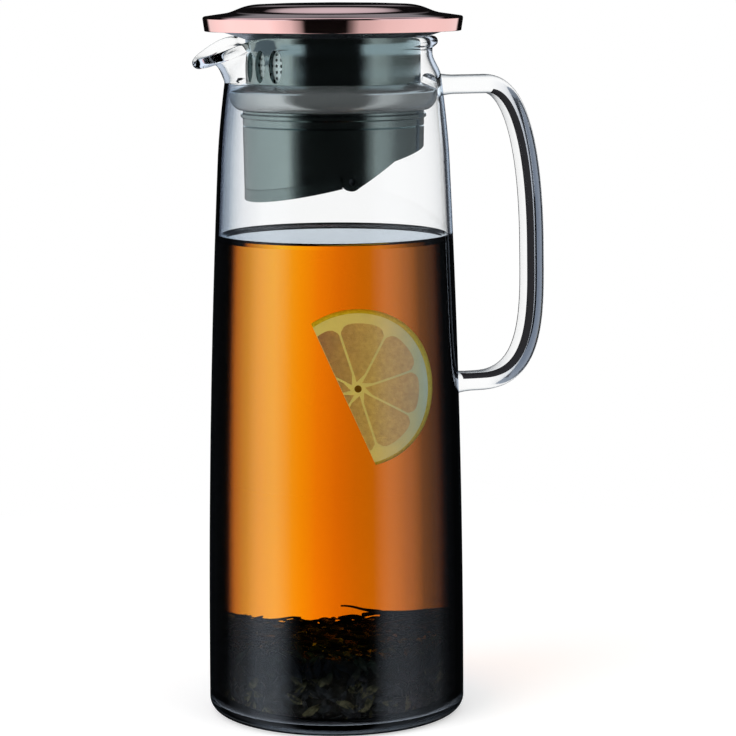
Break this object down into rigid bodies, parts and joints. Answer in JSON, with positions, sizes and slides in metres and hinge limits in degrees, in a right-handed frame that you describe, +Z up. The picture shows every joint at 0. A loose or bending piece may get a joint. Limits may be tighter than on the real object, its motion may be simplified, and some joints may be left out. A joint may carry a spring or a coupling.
{
  "type": "iced tea maker",
  "caption": "Tall glass iced tea jug with a fused strap handle, a pulled spout and a plated lid on a slotted stopper with a gravity pour flap.",
  "frame": {"origin": "centre of the face that the jug stands on, on the jug's axis", "axes": "+Z up along the jug's axis, spout towards -X, handle towards +X"},
  "size_m": [0.1389, 0.0972, 0.268],
  "materials": {
    "glass": "clear blown borosilicate",
    "handle_glass": "clear solid borosilicate",
    "rose_gold": "polished rose-gold plating",
    "black_plastic": "gloss black",
    "smoked_plastic": "glossy grey-green with a metallic sheen",
    "steel_mesh": "pierced stainless steel",
    "silicone": "translucent grey silicone",
    "smoked_cup": "glossy grey-green with a metallic sheen",
    "flap_plastic": "gloss black",
    "steel_weight": "plain stainless steel",
    "steel_pin": "plain stainless steel"
  },
  "bodies": {
    "jug": {"glass_jug": "glass", "glass_handle": "handle_glass"},
    "seal": {"neck_seal": "silicone"},
    "stopper": {"cap_shell": "rose_gold", "cap_core": "black_plastic", "stopper_tube": "smoked_plastic", "strainer_sleeve": "steel_mesh", "valve_cup": "smoked_cup", "flap_pin": "steel_pin"},
    "flap": {"pour_flap": "flap_plastic", "flap_weight": "steel_weight"}
  },
  "joints": [
    {"name": "lid_lift", "type": "slide", "parent": "jug", "child": "seal", "axis": [0, 0, 1], "range_m": [0, 0.085], "deforming": ["neck_seal"]},
    {"name": "lid_turn", "type": "hinge", "parent": "seal", "child": "stopper", "pos_m": [0, 0, 0.24], "axis": [0, 0, 1], "continuous": true},
    {"name": "flap_swing", "type": "hinge", "parent": "stopper", "child": "flap", "pos_m": [-0.005, 0, 0.2036], "axis": [0, -1, 0], "range_deg": [0, 50]}
  ]
}
